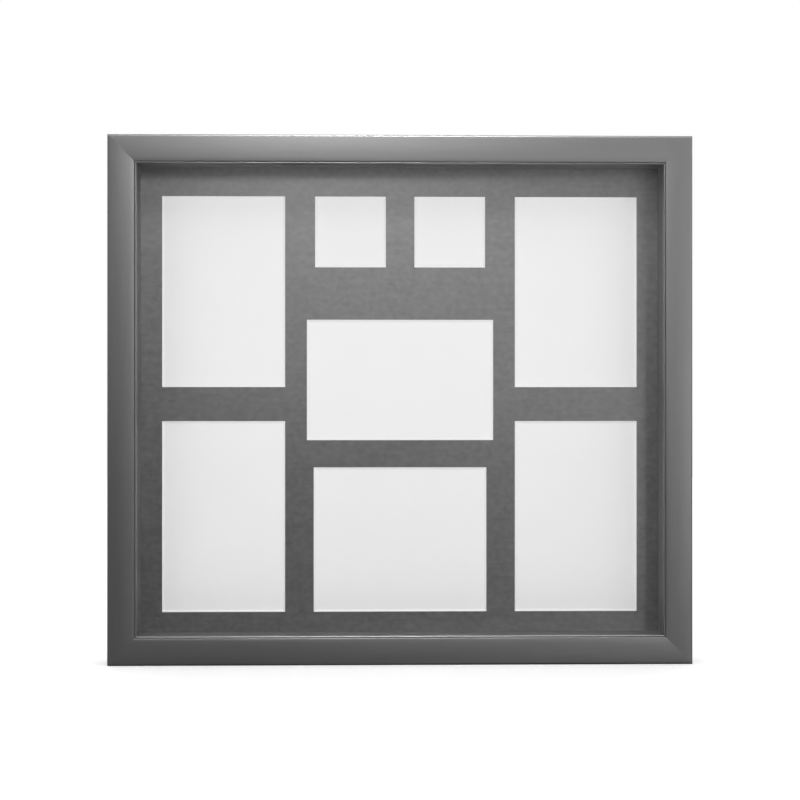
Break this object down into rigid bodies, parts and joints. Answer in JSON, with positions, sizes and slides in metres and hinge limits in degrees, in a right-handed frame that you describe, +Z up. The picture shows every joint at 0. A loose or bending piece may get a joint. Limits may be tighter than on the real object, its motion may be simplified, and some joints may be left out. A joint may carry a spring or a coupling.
{
  "type": "collage photo frame",
  "caption": "Deep box picture frame with a dark metallic mat whose bevelled windows show blank cards; hangs by rings on its back or stands on its lower edge.",
  "frame": {"origin": "middle of the footprint, at the level of the lower edge", "axes": "+Z up, the face looks towards -Y, +X to the right when seen from the front"},
  "size_m": [0.422, 0.0378, 0.382],
  "materials": {
    "rail_lacquer": "satin metallic lacquer",
    "mat_board": "satin metallic paper",
    "blank_card": "matte",
    "spacer_plastic": "satin",
    "glass": "clear",
    "grey_board": "matte",
    "hardboard": "smooth",
    "nickel_steel": "nickel plated",
    "zinc_steel": "zinc plated",
    "bumper_rubber": "matte"
  },
  "bodies": {
    "frame": {"rail_top": "rail_lacquer", "rail_bottom": "rail_lacquer", "rail_left": "rail_lacquer", "rail_right": "rail_lacquer", "corner_nails": "zinc_steel", "glass_pane": "glass", "spacer_top": "spacer_plastic", "spacer_bottom": "spacer_plastic", "spacer_left": "spacer_plastic", "spacer_right": "spacer_plastic", "window_mat": "mat_board", "card_upper_left": "blank_card", "card_upper_right": "blank_card", "card_lower_left": "blank_card", "card_lower_right": "blank_card", "card_square_left": "blank_card", "card_square_right": "blank_card", "card_landscape": "blank_card", "card_wide": "blank_card", "mount_board": "grey_board", "back_panel": "hardboard", "turn_button_screws": "zinc_steel", "strap_hanger_left": "nickel_steel", "strap_hanger_right": "nickel_steel", "strap_screws": "zinc_steel", "bumper_left": "bumper_rubber", "bumper_right": "bumper_rubber"},
    "turn_button_top_left": {"turn_button_top_left": "nickel_steel"},
    "turn_button_top_right": {"turn_button_top_right": "nickel_steel"},
    "turn_button_bottom_left": {"turn_button_bottom_left": "nickel_steel"},
    "turn_button_bottom_right": {"turn_button_bottom_right": "nickel_steel"},
    "turn_button_left_upper": {"turn_button_left_upper": "nickel_steel"},
    "turn_button_left_lower": {"turn_button_left_lower": "nickel_steel"},
    "turn_button_right_upper": {"turn_button_right_upper": "nickel_steel"},
    "turn_button_right_lower": {"turn_button_right_lower": "nickel_steel"},
    "hanging_ring_left": {"hanging_ring_left": "nickel_steel"},
    "hanging_ring_right": {"hanging_ring_right": "nickel_steel"}
  },
  "joints": [
    {"name": "turn_button_top_left_turn", "type": "hinge", "parent": "frame", "child": "turn_button_top_left", "pos_m": [-0.1055, 0.01565, 0.37075], "axis": [0, 1, 0], "continuous": true},
    {"name": "turn_button_top_right_turn", "type": "hinge", "parent": "frame", "child": "turn_button_top_right", "pos_m": [0.1055, 0.01565, 0.37075], "axis": [0, 1, 0], "continuous": true},
    {"name": "turn_button_bottom_left_turn", "type": "hinge", "parent": "frame", "child": "turn_button_bottom_left", "pos_m": [-0.1055, 0.01565, 0.01125], "axis": [0, 1, 0], "continuous": true},
    {"name": "turn_button_bottom_right_turn", "type": "hinge", "parent": "frame", "child": "turn_button_bottom_right", "pos_m": [0.1055, 0.01565, 0.01125], "axis": [0, 1, 0], "continuous": true},
    {"name": "turn_button_left_upper_turn", "type": "hinge", "parent": "frame", "child": "turn_button_left_upper", "pos_m": [-0.19975, 0.01565, 0.25976], "axis": [0, 1, 0], "continuous": true},
    {"name": "turn_button_left_lower_turn", "type": "hinge", "parent": "frame", "child": "turn_button_left_lower", "pos_m": [-0.19975, 0.01565, 0.12224], "axis": [0, 1, 0], "continuous": true},
    {"name": "turn_button_right_upper_turn", "type": "hinge", "parent": "frame", "child": "turn_button_right_upper", "pos_m": [0.19975, 0.01565, 0.25976], "axis": [0, 1, 0], "continuous": true},
    {"name": "turn_button_right_lower_turn", "type": "hinge", "parent": "frame", "child": "turn_button_right_lower", "pos_m": [0.19975, 0.01565, 0.12224], "axis": [0, 1, 0], "continuous": true},
    {"name": "hanging_ring_left_swing", "type": "hinge", "parent": "frame", "child": "hanging_ring_left", "pos_m": [-0.20325, 0.017, 0.322], "axis": [1, 0, 0], "range_deg": [0, 180]},
    {"name": "hanging_ring_right_swing", "type": "hinge", "parent": "frame", "child": "hanging_ring_right", "pos_m": [0.20325, 0.017, 0.322], "axis": [1, 0, 0], "range_deg": [0, 180]}
  ]
}
